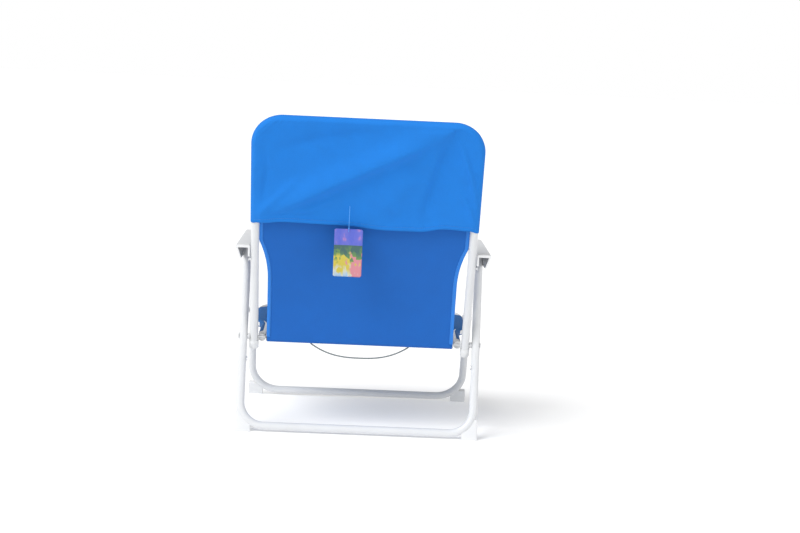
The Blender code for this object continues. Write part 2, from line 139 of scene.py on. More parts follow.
def make_studio():
    """A white floor under a sky that is brightest at the horizon, with a soft sun and a weak fill."""
    scene = bpy.context.scene
    scene.view_settings.view_transform = "Standard"
    world = bpy.data.worlds.new("studio")
    scene.world = world
    world.use_nodes = True
    nodes, links = world.node_tree.nodes, world.node_tree.links
    backdrop = nodes["Background"]
    backdrop.inputs["Color"].default_value = (1.0, 1.0, 1.0, 1.0)
    place = nodes.new("ShaderNodeTexCoord")
    split = nodes.new("ShaderNodeSeparateXYZ")
    fade = nodes.new("ShaderNodeMapRange")
    fade.interpolation_type = "SMOOTHSTEP"
    fade.inputs["From Min"].default_value = FADE_FROM
    fade.inputs["From Max"].default_value = FADE_TO
    fade.inputs["To Min"].default_value = HORIZON_STRENGTH
    fade.inputs["To Max"].default_value = ZENITH_STRENGTH
    links.new(place.outputs["Generated"], split.inputs["Vector"])
    links.new(split.outputs["Z"], fade.inputs["Value"])
    links.new(fade.outputs["Result"], backdrop.inputs["Strength"])
    for name, way, strength in LIGHTS:
        data = bpy.data.lights.new(name, "SUN")
        data.energy = strength
        data.angle = LIGHT_ANGLE
        sun = bpy.data.objects.new(name, data)
        scene.collection.objects.link(sun)
        sun.rotation_euler = (-way).to_track_quat("-Z", "Y").to_euler()
    floor = bpy.data.meshes.new("studio_floor")
    shape = bmesh.new()
    bmesh.ops.create_grid(shape, x_segments=2, y_segments=2, size=FLOOR_SIZE)
    bmesh.ops.translate(shape, vec=(0.0, 0.0, -FLOOR_DROP), verts=shape.verts)
    shape.to_mesh(floor)
    shape.free()
    stage = bpy.data.objects.new("studio_floor", floor)
    scene.collection.objects.link(stage)
    floor.materials.append(plain_floor())


# ---- materials


class Nodes:
    """A short way to build a node tree round a material's Principled BSDF."""

    def __init__(self, name):
        self.material = bpy.data.materials.new(name)
        self.material.use_nodes = True
        self.tree = self.material.node_tree
        self.shader = self.tree.nodes["Principled BSDF"]

    def add(self, kind, **values):
        made = self.tree.nodes.new(kind)
        for key, value in values.items():
            setattr(made, key, value)
        return made

    def link(self, output, target):
        self.tree.links.new(output, target)

    def feed(self, socket, value):
        """Gives a socket a colour, a number or another node's output."""
        if isinstance(value, tuple):
            socket.default_value = (*value, 1.0)
        elif isinstance(value, (int, float)):
            socket.default_value = value
        else:
            self.link(value, socket)

    def math(self, operation, *values):
        made = self.add("ShaderNodeMath", operation=operation)
        for socket, value in zip(made.inputs, values):
            self.feed(socket, value)
        return made.outputs[0]

    def coordinates(self, output, scale=1.0):
        source = self.add("ShaderNodeTexCoord").outputs[output]
        mapping = self.add("ShaderNodeMapping")
        mapping.inputs["Scale"].default_value = (scale, scale, scale)
        self.link(source, mapping.inputs["Vector"])
        return mapping.outputs["Vector"]

    def noise(self, vector, scale, detail=3.0, rough=0.5):
        made = self.add("ShaderNodeTexNoise")
        made.inputs["Scale"].default_value = scale
        made.inputs["Detail"].default_value = detail
        made.inputs["Roughness"].default_value = rough
        self.link(vector, made.inputs["Vector"])
        return made.outputs["Fac"]

    def ramp(self, factor, stops, interpolation="LINEAR"):
        made = self.add("ShaderNodeValToRGB")
        made.color_ramp.interpolation = interpolation
        elements = made.color_ramp.elements
        while len(elements) < len(stops):
            elements.new(0.5)
        for element, (place, colour) in zip(elements, stops):
            element.position = place
            element.color = (*colour, 1.0)
        self.link(factor, made.inputs["Fac"])
        return made.outputs["Color"]

    def mix(self, factor, first, second, blend="MIX"):
        made = self.add("ShaderNodeMix", data_type="RGBA", blend_type=blend)
        for index, value in ((0, factor), (6, first), (7, second)):
            self.feed(made.inputs[index], value)
        return made.outputs[2]

    def span(self, factor, low, high):
        made = self.add("ShaderNodeMapRange")
        made.inputs["To Min"].default_value = low
        made.inputs["To Max"].default_value = high
        self.link(factor, made.inputs["Value"])
        return made.outputs["Result"]

    def bump(self, height, strength, distance, normal=None):
        made = self.add("ShaderNodeBump")
        made.inputs["Strength"].default_value = strength
        made.inputs["Distance"].default_value = distance
        self.link(height, made.inputs["Height"])
        if normal is not None:
            self.link(normal, made.inputs["Normal"])
        return made.outputs["Normal"]

    def set(self, **values):
        for key, value in values.items():
            self.feed(self.shader.inputs[key.replace("_", " ")], value)


def shade(colour, factor):
    return tuple(min(1.0, channel * factor) for channel in colour)


def plain_floor():
    """Matt white with a weak glow, which keeps the shadows on it light."""
    tree = Nodes("studio_floor")
    tree.set(Base_Color=(0.80, 0.80, 0.80), Roughness=1.0, Specular_IOR_Level=0.0)
    tree.set(Emission_Color=(1.0, 1.0, 1.0), Emission_Strength=FLOOR_GLOW)
    return tree.material


def painted_metal(name, colour):
    """Powder coat: faint orange peel, soft gloss and a slightly greyer tone in patches."""
    tree = Nodes(name)
    place = tree.coordinates("Object")
    patches = tree.noise(place, 18.0)
    peel = tree.noise(place, 900.0, 2.0)
    tree.set(
        Base_Color=tree.ramp(patches, [(0.3, shade(colour, 0.965)), (0.7, colour)]),
        Roughness=tree.span(tree.noise(place, 60.0), 0.30, 0.42),
        Normal=tree.bump(peel, 0.12, 0.0003),
        Coat_Weight=0.25,
        Coat_Roughness=0.25,
    )
    return tree.material


def moulded_plastic(name, colour, roughness=0.42):
    """Injection-moulded plastic: a fine spark texture, with faint flow marks in tone."""
    tree = Nodes(name)
    place = tree.coordinates("Object")
    flow = tree.noise(place, 30.0, 4.0, 0.6)
    grain = tree.noise(place, 1600.0, 2.0)
    tree.set(
        Base_Color=tree.ramp(flow, [(0.25, shade(colour, 0.955)), (0.75, colour)]),
        Roughness=tree.span(grain, roughness - 0.05, roughness + 0.08),
        Normal=tree.bump(grain, 0.10, 0.0002),
    )
    return tree.material


def plated_steel(name, colour):
    tree = Nodes(name)
    place = tree.coordinates("Object")
    wear = tree.noise(place, 300.0, 4.0, 0.7)
    tree.set(
        Base_Color=tree.ramp(wear, [(0.3, shade(colour, 0.82)), (0.7, colour)]),
        Roughness=tree.span(wear, 0.24, 0.42),
        Metallic=0.7,
        Normal=tree.bump(tree.noise(place, 1500.0), 0.08, 0.0002),
    )
    return tree.material


def woven(name, colour, pitch, contrast=0.10, relief=0.35, sheen=0.03, fade=0.05):
    """Plain weave from the UV map, which is in metres, with slubs, a faint mottle, a soft sheen, and painted
    shade that darkens the colour where the yarns dip in the weave.
    """
    tree = Nodes(name)
    uv = tree.coordinates("UV", 1.0 / pitch)
    split = tree.add("ShaderNodeSeparateXYZ")
    tree.link(uv, split.inputs["Vector"])
    across = tree.math("ABSOLUTE", tree.math("SINE", tree.math("MULTIPLY", split.outputs["X"], math.pi)))
    along = tree.math("ABSOLUTE", tree.math("SINE", tree.math("MULTIPLY", split.outputs["Y"], math.pi)))
    checker = tree.add("ShaderNodeTexChecker")
    checker.inputs["Scale"].default_value = 1.0
    tree.link(uv, checker.inputs["Vector"])
    over = checker.outputs["Fac"]
    under = tree.math("SUBTRACT", 1.0, over)
    height = tree.math("ADD", tree.math("MULTIPLY", over, across), tree.math("MULTIPLY", under, along))
    metres = tree.coordinates("UV")
    mottle = tree.noise(metres, 28.0, 4.0, 0.6)
    slub = tree.noise(metres, 420.0, 2.0)
    base = tree.ramp(mottle, [(0.25, shade(colour, 1.0 - fade)), (0.75, shade(colour, 1.0 + fade))])
    # Painted shade: the base colour is darker where the weave height dips between the yarns.
    thread_dip_shade = tree.ramp(height, [(0.0, (1.0 - contrast,) * 3), (0.8, (1.0, 1.0, 1.0))])
    slubs = tree.ramp(slub, [(0.35, (0.965,) * 3), (0.65, (1.0, 1.0, 1.0))])
    tinted = tree.mix(1.0, tree.mix(1.0, base, thread_dip_shade, "MULTIPLY"), slubs, "MULTIPLY")
    crumple = tree.bump(tree.noise(metres, 90.0, 3.0), 0.10, 0.0010)
    tree.set(
        Base_Color=tinted,
        Roughness=tree.span(mottle, 0.72, 0.84),
        Sheen_Weight=sheen,
        Sheen_Roughness=0.5,
        Specular_IOR_Level=0.2,
        Normal=tree.bump(height, relief, 0.00012, crumple),
    )
    return tree.material


def thread(name, colour):
    """Twisted sewing thread or braided cord, with painted shade darkening the grooves of the twist."""
    tree = Nodes(name)
    place = tree.coordinates("Object")
    wave = tree.add("ShaderNodeTexWave", wave_type="BANDS", bands_direction="DIAGONAL")
    wave.inputs["Scale"].default_value = 260.0
    wave.inputs["Distortion"].default_value = 1.5
    tree.link(place, wave.inputs["Vector"])
    twist = wave.outputs["Fac"]
    # Painted shade: the base colour darkens where the twist's bump dips.
    tree.set(
        Base_Color=tree.ramp(twist, [(0.0, shade(colour, 0.6)), (0.7, colour)]),
        Roughness=0.75,
        Sheen_Weight=0.1,
        Normal=tree.bump(twist, 0.5, 0.0003),
    )
    return tree.material


def printed_card(name):
    """Coated card with a generic print: a violet head over loose fields of colour, and no lettering."""
    tree = Nodes(name)
    place = tree.coordinates("UV")
    split = tree.add("ShaderNodeSeparateXYZ")
    tree.link(place, split.inputs["Vector"])
    cells = tree.add("ShaderNodeTexVoronoi", feature="F1")
    cells.inputs["Scale"].default_value = 9.0
    tree.link(place, cells.inputs["Vector"])
    pick = tree.add("ShaderNodeSeparateColor")
    tree.link(cells.outputs["Color"], pick.inputs["Color"])
    drift = tree.math("MULTIPLY", tree.math("SUBTRACT", pick.outputs["Red"], 0.5), 0.22)
    height = tree.math("ADD", split.outputs["Y"], drift)
    stops = [
        (0.00, (0.30, 0.45, 0.62)),
        (0.10, (0.50, 0.52, 0.42)),
        (0.20, (0.50, 0.42, 0.04)),
        (0.36, (0.52, 0.44, 0.05)),
        (0.44, (0.10, 0.22, 0.06)),
        (0.60, (0.03, 0.10, 0.09)),
    ]
    picture = tree.ramp(height, stops)
    blossom = tree.math("MULTIPLY", tree.noise(place, 5.0, 3.0), tree.math("ADD", 0.25, split.outputs["X"]))
    pink = tree.ramp(blossom, [(0.40, (0.0, 0.0, 0.0)), (0.47, (1.0, 1.0, 1.0))])
    petals = tree.math("MULTIPLY", pink, tree.math("LESS_THAN", height, 0.42))
    picture = tree.mix(petals, picture, (0.55, 0.20, 0.24))
    band = tree.noise(place, 4.0, 3.0)
    head = tree.ramp(
        tree.math("ADD", tree.math("MULTIPLY", band, 0.8), tree.math("MULTIPLY", split.outputs["Y"], 0.1)),
        [(0.40, (0.07, 0.10, 0.52)), (0.55, (0.11, 0.12, 0.52)), (0.66, (0.42, 0.18, 0.40))],
    )
    is_head = tree.math("GREATER_THAN", split.outputs["Y"], 0.66)
    tree.set(
        Base_Color=tree.mix(is_head, picture, head),
        Roughness=0.32,
        Coat_Weight=0.4,
        Coat_Roughness=0.15,
        Normal=tree.bump(tree.noise(place, 40.0), 0.05, 0.0005),
    )
    return tree.material


# ---- mesh helpers


def add_piece(made, body, nodes):
    bpy.context.scene.collection.objects.link(made)
    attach(made, body)
    if nodes:
        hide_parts(*nodes)
    return made


def mesh_piece(shape, name, material, body, nodes=(), sharp=None):
    """Makes a piece from a bmesh that is already in world places. Edges over sharp degrees stay hard."""
    bmesh.ops.recalc_face_normals(shape, faces=shape.faces)
    mesh = bpy.data.meshes.new(name)
    shape.to_mesh(mesh)
    shape.free()
    mesh.materials.append(material)
    for face in mesh.polygons:
        face.use_smooth = True
    if sharp is not None:
        mesh.set_sharp_from_angle(angle=math.radians(sharp))
    return add_piece(bpy.data.objects.new(name, mesh), body, nodes)


def thicken(made, thickness, offset=0.0):
    """Turns a single sheet of faces into a solid of the given thickness."""
    solid = made.modifiers.new("thickness", "SOLIDIFY")
    solid.thickness = thickness
    solid.offset = offset
    solid.use_even_offset = False
    graph = bpy.context.evaluated_depsgraph_get()
    mesh = bpy.data.meshes.new_from_object(made.evaluated_get(graph))
    made.modifiers.clear()
    made.data = mesh


def lay_grid(shape, rows, columns, place, uv_of):
    """A grid of faces with its UV map. place and uv_of take a row and a column number."""
    layers = shape.loops.layers.uv
    layer = layers.get("UVMap") or layers.new("UVMap")
    grid = []
    for row in range(rows + 1):
        grid.append([shape.verts.new(place(row, column)) for column in range(columns + 1)])
    for row in range(rows):
        for column in range(columns):
            spots = ((row, column), (row, column + 1), (row + 1, column + 1), (row + 1, column))
            face = shape.faces.new([grid[r][c] for r, c in spots])
            for loop, (r, c) in zip(face.loops, spots):
                loop[layer].uv = uv_of(r, c)


def side_view(x, place):
    return Vector((x, place.x, place.y))


def on_line(origin, direction, points):
    """World places of (x, s) points on a line from origin in the side view."""
    return [side_view(x, origin + direction * s) for x, s in points]


def back_place(x, s, n=0.0):
    """World place from the back's own plane: s up the back from the rear pivot, n towards the rear."""
    return side_view(x, REAR_PIVOT + BACK_DIR * s + BACK_NORMAL * n)


def arc_path(half_width, bend, top, steps=14):
    """(x, s) points of a U whose bar is at s = 0 and whose ends are at s = top."""
    side = [(half_width, top)]
    for i in range(steps + 1):
        angle = math.pi / 2 * i / steps
        side.append((half_width - bend + bend * math.cos(angle), bend - bend * math.sin(angle)))
    return side + [(-x, s) for x, s in reversed(side)]


def ring_frames(points):
    """Two normals at each point of a path, carried along without twist."""
    frames = []
    normal = None
    for i in range(len(points)):
        before = points[max(i - 1, 0)]
        after = points[min(i + 1, len(points) - 1)]
        tangent = (after - before).normalized()
        if normal is None:
            normal = tangent.orthogonal().normalized()
        normal = (normal - tangent * normal.dot(tangent)).normalized()
        frames.append((normal, tangent.cross(normal)))
    return frames


TUBE_SIDES = 28
TUBE_WALL = 0.0011
TUBE_RECESS = 0.0060
TUBE_SHARP = 50
PART_SHARP = 35
STITCH_PITCH = 0.0042
STITCH_LENGTH = 0.0029
STITCH_R = 0.00032


def add_ring(shape, centre, first, second, radius, sides):
    """New vertices in a circle round a centre, in the plane of two unit vectors."""
    ring = []
    for k in range(sides):
        angle = 2 * math.pi * k / sides
        ring.append(shape.verts.new(centre + (first * math.cos(angle) + second * math.sin(angle)) * radius))
    return ring


def join_rings(shape, rings):
    """Walls between neighbouring rings, and a face over each end."""
    count = len(rings[0])
    for low, high in zip(rings, rings[1:]):
        for k in range(count):
            j = (k + 1) % count
            shape.faces.new((low[k], low[j], high[j], high[k]))
    shape.faces.new(list(reversed(rings[0])))
    shape.faces.new(rings[-1])


def sweep(shape, points, radii, sides):
    """A closed tube round a path, with one radius at each point."""
    rings = []
    for point, radius, (first, second) in zip(points, radii, ring_frames(points)):
        rings.append(add_ring(shape, point, first, second, radius, sides))
    join_rings(shape, rings)


def tube_piece(name, points, radius, body, node):
    """A bent, painted tube whose two open ends show its wall and a recess."""
    first_way = (points[0] - points[1]).normalized()
    last_way = (points[-1] - points[-2]).normalized()
    lip = 0.0004
    shape = bmesh.new()
    sweep(shape, points, [radius] * len(points), TUBE_SIDES)
    for face in [f for f in shape.faces if len(f.verts) > 4]:
        way = first_way if (face.calc_center_median() - points[0]).length < lip else last_way
        bmesh.ops.inset_region(shape, faces=[face], thickness=TUBE_WALL, depth=0.0)
        pushed = bmesh.ops.extrude_face_region(shape, geom=[face])
        verts = [v for v in pushed["geom"] if isinstance(v, bmesh.types.BMVert)]
        bmesh.ops.translate(shape, vec=-way * TUBE_RECESS, verts=verts)
        bmesh.ops.delete(shape, geom=[face], context="FACES_ONLY")
    mesh_piece(shape, name, FRAME_PAINT, body, [node], TUBE_SHARP)


def lathe_piece(name, profile, origin, axis, material, body, nodes=(), sides=32):
    """A turned shape from (radius, distance along the axis) points, closed at both ends."""
    shape = bmesh.new()
    axis = axis.normalized()
    first = axis.orthogonal().normalized()
    second = axis.cross(first)
    rings = [add_ring(shape, origin + axis * out, first, second, radius, sides) for radius, out in profile]
    join_rings(shape, rings)
    return mesh_piece(shape, name, material, body, nodes, PART_SHARP)


def stitch_row(name, path, out, material, body):
    """Short rounded stitches along a path, each dipping into the cloth at its ends."""
    lengths = [0.0]
    for first, second in zip(path, path[1:]):
        lengths.append(lengths[-1] + (second - first).length)

    def at(distance):
        for i in range(len(path) - 1):
            if distance <= lengths[i + 1] or i == len(path) - 2:
                part = (distance - lengths[i]) / max(lengths[i + 1] - lengths[i], 1e-9)
                return path[i].lerp(path[i + 1], min(max(part, 0.0), 1.0))

    shape = bmesh.new()
    for k in range(int(lengths[-1] / STITCH_PITCH)):
        start = (k + 0.5) * STITCH_PITCH - STITCH_LENGTH / 2
        points, radii = [], []
        for part in (0.0, 0.25, 0.5, 0.75, 1.0):
            arch = math.sin(math.pi * part)
            points.append(at(start + STITCH_LENGTH * part) + out * (STITCH_R * 1.1 * arch))
            radii.append(STITCH_R * (0.55 + 0.45 * arch))
        sweep(shape, points, radii, 6)
    return mesh_piece(shape, name, material, body)


def smooth_step(low, high, value):
    part = min(max((value - low) / (high - low), 0.0), 1.0)
    return part * part * (3.0 - 2.0 * part)


def spline_value(knots, x):
    """A smooth value through (x, value) knots in rising x."""
    if x <= knots[0][0]:
        return knots[0][1]
    for (x0, v0), (x1, v1) in zip(knots, knots[1:]):
        if x <= x1:
            part = (x - x0) / (x1 - x0)
            return v0 + (v1 - v0) * part * part * (3.0 - 2.0 * part)
    return knots[-1][1]


# ---- the look of each slot

FRAME_PAINT = painted_metal("frame_paint", (0.68, 0.692, 0.705))
WHITE_PLASTIC = moulded_plastic("white_plastic", (0.72, 0.73, 0.74))
GREY_NYLON = moulded_plastic("grey_nylon", (0.62, 0.63, 0.64), 0.5)
STEEL = plated_steel("plated_steel", (0.86, 0.87, 0.88))
SEAT_CLOTH = woven("seat_weave", (0.018, 0.105, 0.300), 0.0011, contrast=0.14)
BACK_CLOTH = woven("back_weave", (0.013, 0.124, 0.475), 0.0011, contrast=0.12, fade=0.03)
# Painted highlight: the hems are the back cloth folded over, given a lighter colour as if they caught more
# light.
HEM_HIGHLIGHT_CLOTH = woven("hem_weave_painted_highlight", (0.034, 0.215, 0.700), 0.0011, contrast=0.12)
HOOD_CLOTH = woven("hood_weave", (0.012, 0.192, 0.650), 0.0006, contrast=0.07, relief=0.2, fade=0.035)
SEWING = thread("sewing_thread", (0.05, 0.24, 0.66))
SEAT_SEWING = thread("seat_sewing_thread", (0.03, 0.11, 0.28))
CORD_LOOK = thread("braided_cord", (0.19, 0.22, 0.23))
STRING_LOOK = moulded_plastic("clear_string", (0.07, 0.32, 0.80), 0.3)
TAG_LOOK = printed_card("tag_print")

# ---- cords

CORD_R = 0.0016
CORD_HALF_SPAN = 0.1120
CORD_TOP_Z = 0.1991
CORD_SAG = 0.0300
CORD_STEPS = 40
STRING_R = 0.0007
RING_R = 0.0034
# (radius, distance along the string) points.
KNOT_PROFILE = ((0.0003, -0.0016), (0.0013, -0.0010), (0.0017, 0.0), (0.0013, 0.0010), (0.0005, 0.0016))


def curve_piece(name, points, radius, material, body, nodes):
    curve = bpy.data.curves.new(name, "CURVE")
    curve.dimensions = "3D"
    curve.bevel_depth = radius
    curve.bevel_resolution = 4
    curve.use_fill_caps = True
    spline = curve.splines.new("POLY")
    spline.points.add(len(points) - 1)
    for spot, point in zip(spline.points, points):
        spot.co = (*point, 1.0)
    curve.materials.append(material)
    return add_piece(bpy.data.objects.new(name, curve), body, nodes)


def make_cords():
    """The carry cord's bow under the crossbar, and the tag's string with its knot and ring."""
    route = []
    for i in range(CORD_STEPS + 1):
        t = 2.0 * i / CORD_STEPS - 1.0
        drop = CORD_SAG * (1.0 - abs(t) ** 2.6)
        route.append(Vector((CORD_HALF_SPAN * t, REAR_PIVOT.x, CORD_TOP_Z - drop)))
    cord = curve_piece("carry_cord_braid", route, CORD_R, CORD_LOOK, "seat", ["carry_cord"])
    anchor = Vector(JOINTS["tag_swing"]["pos_m"])
    foot = Vector((anchor.x, anchor.y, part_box("swing_tag")[1][2] + 0.0004))
    points = [anchor.lerp(foot, i / 12) for i in range(13)]
    string = curve_piece("tag_string_loop", points, STRING_R, STRING_LOOK, "tag", ["tag_string"])
    upward = Vector((0.0, 0.0, 1.0))
    knot = lathe_piece("tag_knot", KNOT_PROFILE, foot, upward, STRING_LOOK, "tag", sides=12)
    ring = [
        foot + Vector((0.0, math.sin(turn) * RING_R, math.cos(turn) * RING_R - RING_R))
        for turn in [2 * math.pi * i / 24 for i in range(25)]
    ]
    shape = bmesh.new()
    sweep(shape, ring, [STRING_R * 0.8] * len(ring), 8)
    mesh_piece(shape, "tag_ring", STRING_LOOK, "tag")


# ---- frame tubes


# Which loop, tube radius, corner bend and the feet's height along the tube.
LEGS = (("rear", REAR_TUBE_R, REAR_BEND, 0.0330), ("front", FRONT_TUBE_R, FRONT_BEND, 0.0200))


def leg_frame(word, radius):
    """A leg loop's floor bar and direction in the side view, half its tubes' spacing and its top level."""
    low, high = corners(f"{word}_leg_loop")
    if word == "rear":
        bar = Vector((high.y - radius, low.z + radius))
        return bar, (REAR_PIVOT - bar).normalized(), high.x - radius, high.z
    bar = Vector((low.y + radius, low.z + radius))
    return bar, BACK_DIR, high.x - radius, high.z


def back_tube_x():
    return corners("back_frame_tube")[1].x - BACK_TUBE_R


def make_tubes():
    for word, radius, bend, _ in LEGS:
        bar, way, half, level = leg_frame(word, radius)
        top = (level - radius * abs(way.x) - bar.y) / way.y
        path = on_line(bar, way, arc_path(half, bend, top))
        tube_piece(f"{word}_leg_tube", path, radius, f"{word}_legs", f"{word}_leg_loop")

    arch = arc_path(back_tube_x(), BACK_BEND, BACK_LENGTH + BACK_TAIL)
    path = [back_place(x, BACK_LENGTH - s) for x, s in arch]
    tube_piece("back_tube", path, BACK_TUBE_R, "back", "back_frame_tube")
    path = on_line(seat_origin(), SEAT_DIR, seat_rail_line())
    tube_piece("seat_tube", path, SEAT_TUBE_R, "seat", "seat_rail_tube")
    low, high = corners("rear_crossbar")
    path = [side_view(high.x + (low.x - high.x) * i / 4, REAR_PIVOT) for i in range(5)]
    tube_piece("crossbar_tube", path, CROSSBAR_R, "seat", "rear_crossbar")


def seat_depth():
    """Distance from the seat's front bar to the rear pivot, along the seat."""
    return (REAR_PIVOT.x - SEAT_BAR_Y) / SEAT_DIR.x


def seat_origin():
    return REAR_PIVOT - SEAT_DIR * seat_depth()


RAIL_TAIL = 0.0070
# Along each side rail: distance ahead of the rear pivot, and how far out of the rear part it runs.
JOGGLE = ((0.0980, 0.0), (0.1100, 0.0030), (0.1420, 0.0160), (0.1540, 0.0190))


def rail_x(p):
    """Half the spacing of the seat's side rails at a distance from the front bar."""
    back = seat_depth() - p
    knots = [(gap, SEAT_REAR_X + out) for gap, out in JOGGLE]
    return spline_value(knots, back)


def seat_rail_line():
    """(x, p) points of the seat tube: side rails with a joggle, and a U at the front."""
    depth = seat_depth()
    side = [(SEAT_REAR_X, depth + RAIL_TAIL), (SEAT_REAR_X, depth - JOGGLE[0][0])]
    steps = 10
    for i in range(1, steps):
        back = JOGGLE[0][0] + (JOGGLE[-1][0] - JOGGLE[0][0]) * i / steps
        side.append((rail_x(depth - back), depth - back))
    corner = arc_path(SEAT_FRONT_X, SEAT_BEND, depth - JOGGLE[-1][0])
    return side + corner + [(-x, p) for x, p in reversed(side)]


# ---- plastic parts

FOOT_T = 0.0130
FOOT_WIDTH = 0.0360
FOOT_OVERHANG = 0.0007
FOOT_LAP = 0.45
FOOT_ROUND = 0.0016
FOOT_STEPS = 12
FOOT_BELOW = -0.03
CAP_WALL = 0.0014
CAP_TOP = 0.0085
CAP_END = BACK_TAIL + 0.0030


def foot_piece(name, node, side, leg, bend, radius, top, body):
    """A moulded web that fills the outside of a tube's corner, with rounded edges and a flat sole."""
    origin, way, half, _ = leg
    outer = half + radius + FOOT_OVERHANG
    inner = outer - FOOT_WIDTH
    arc = bend + FOOT_LAP * radius
    middle = half - bend
    start = math.asin((top - bend) / arc)
    end = -math.acos((inner - middle) / arc)
    outline = [
        (outer, FOOT_BELOW), (outer - 0.0004, top * 0.5),
        (outer - 0.0012, top - 0.0015), (outer - 0.0030, top),
    ]
    for i in range(FOOT_STEPS + 1):
        angle = start + (end - start) * i / FOOT_STEPS
        outline.append((middle + arc * math.cos(angle), bend + arc * math.sin(angle)))
    outline.append((inner, FOOT_BELOW))
    normal = Vector((way.y, -way.x))
    shape = bmesh.new()
    faces = []
    for offset in (-FOOT_T / 2, FOOT_T / 2):
        spots = [side_view(side * x, origin + way * s + normal * offset) for x, s in outline]
        faces.append(shape.faces.new([shape.verts.new(spot) for spot in spots]))
    low, high = (list(face.verts) for face in faces)
    for i in range(len(outline)):
        j = (i + 1) % len(outline)
        shape.faces.new((low[i], low[j], high[j], high[i]))
    bmesh.ops.recalc_face_normals(shape, faces=shape.faces)
    rims = [edge for edge in shape.edges if len(edge.link_faces) == 2 and edge.calc_face_angle() > 1.2]
    bmesh.ops.bevel(shape, geom=rims, offset=FOOT_ROUND, segments=3, profile=0.5, affect="EDGES")
    geometry = shape.verts[:] + shape.edges[:] + shape.faces[:]
    bmesh.ops.bisect_plane(shape, geom=geometry, plane_co=(0, 0, 0), plane_no=(0, 0, -1), clear_outer=True)
    bmesh.ops.edgeloop_fill(shape, edges=[edge for edge in shape.edges if edge.is_boundary])
    mesh_piece(shape, name, WHITE_PLASTIC, body, [node], PART_SHARP)


def make_feet():
    for side_word, side in SIDES:
        for word, radius, bend, top in LEGS:
            name, node = f"{word}_foot_web_{side_word}", f"{word}_foot_{side_word}"
            foot_piece(name, node, side, leg_frame(word, radius), bend, radius, top, f"{word}_legs")


def make_caps():
    """Push-on caps at the back tube's tails."""
    way = -side_view(0.0, BACK_DIR)
    outer = BACK_TUBE_R + CAP_WALL
    profile = [
        (BACK_TUBE_R + 0.0002, CAP_TOP), (outer - 0.0003, CAP_TOP), (outer, CAP_TOP + 0.0005),
        (outer, CAP_END - 0.0030), (outer - 0.0008, CAP_END - 0.0012), (outer - 0.0028, CAP_END),
        (0.0010, CAP_END),
    ]
    for word, side in SIDES:
        origin = side_view(side * back_tube_x(), REAR_PIVOT)
        lathe_piece(f"back_tail_cap_{word}", profile, origin, way, WHITE_PLASTIC, "back",
                    [f"back_end_cap_{word}"])


ARM_SIDE_WALL = 0.0016
ARM_ROOF = 0.0024
ARM_RIM = 0.0022
# Cross ribs, back from the armrest's front, and long ribs, as shares of its width.
ARM_RIBS = (0.0890, 0.1345, 0.1780, 0.2120, 0.2640)
ARM_RIB_T = 0.0020
ARM_RIB_DEPTH = 0.0040
ARM_LONG_RIBS = (0.30, 0.52, 0.74)
ARM_NOSE = 0.0160
ARM_CORNER = 0.0032
ARM_CROWN = 0.0004
ARM_SLANT = 0.0070
ARM_REAR_TAPER = 0.085
ARM_FRONT_TAPER = 0.060
ARM_STEPS = 34
NOSE_STEPS = 9
ARM_SHARP = 38


def arm_section(box, y):
    """Outer and inner (x, z) lines of the armrest's channel at y, each from foot to foot."""
    low, high = box
    in_x, out_x, top = low[0], high[0], high[2]
    rear = smooth_step(high[1] - ARM_REAR_TAPER, high[1], y)
    front = 1.0 - smooth_step(low[1], low[1] + ARM_FRONT_TAPER, y)
    inner_foot = low[2] + 0.0130 * rear + 0.006 * front
    outer_foot = low[2] + 0.0080 * rear + 0.006 * front
    outer_foot_x = out_x - ARM_SLANT - 0.0030 * rear
    corner = ARM_CORNER
    outer = [(in_x + 0.0004, inner_foot), (in_x, inner_foot + 0.0006), (in_x, top - corner)]
    for i in range(1, 6):
        angle = math.pi - math.pi / 2 * i / 5
        drop = corner - corner * math.sin(angle) + ARM_CROWN
        outer.append((in_x + corner + corner * math.cos(angle), top - drop))
    outer.append(((in_x + out_x) / 2, top))
    tilt = corner * 0.9
    for i in range(6):
        angle = math.pi / 2 - math.pi / 2 * i / 5
        drop = tilt - tilt * math.sin(angle) + ARM_CROWN
        outer.append((out_x - tilt + tilt * math.cos(angle), top - drop))
    outer.append((outer_foot_x + 0.0003, outer_foot + 0.0010))
    outer.append((outer_foot_x - 0.0006, outer_foot))
    wall = ARM_SIDE_WALL + ARM_RIM * smooth_step(high[1] - 0.0060, high[1] - 0.0035, y)
    roof = ARM_ROOF + 1.6 * (wall - ARM_SIDE_WALL)
    slope = (out_x - outer_foot_x) / (top - corner - outer_foot)
    inner = [
        (outer_foot_x - wall - 0.0003, outer_foot),
        (outer_foot_x - wall + 0.0006 * slope, outer_foot + 0.0010),
        (out_x - wall - 0.0014 - slope * 0.0010, top - roof - 0.0016),
        (out_x - wall - 0.0030, top - roof),
        (in_x + wall + 0.0016, top - roof),
        (in_x + wall, top - roof - 0.0016),
        (in_x + wall, inner_foot + 0.0006),
        (in_x + wall - 0.0002, inner_foot),
    ]
    return outer, inner


def add_block(shape, low, high):
    made = bmesh.ops.create_cube(shape, size=1.0)
    size = [b - a for a, b in zip(low, high)]
    middle = [(a + b) / 2 for a, b in zip(low, high)]
    bmesh.ops.scale(shape, vec=size, verts=made["verts"])
    bmesh.ops.translate(shape, vec=middle, verts=made["verts"])


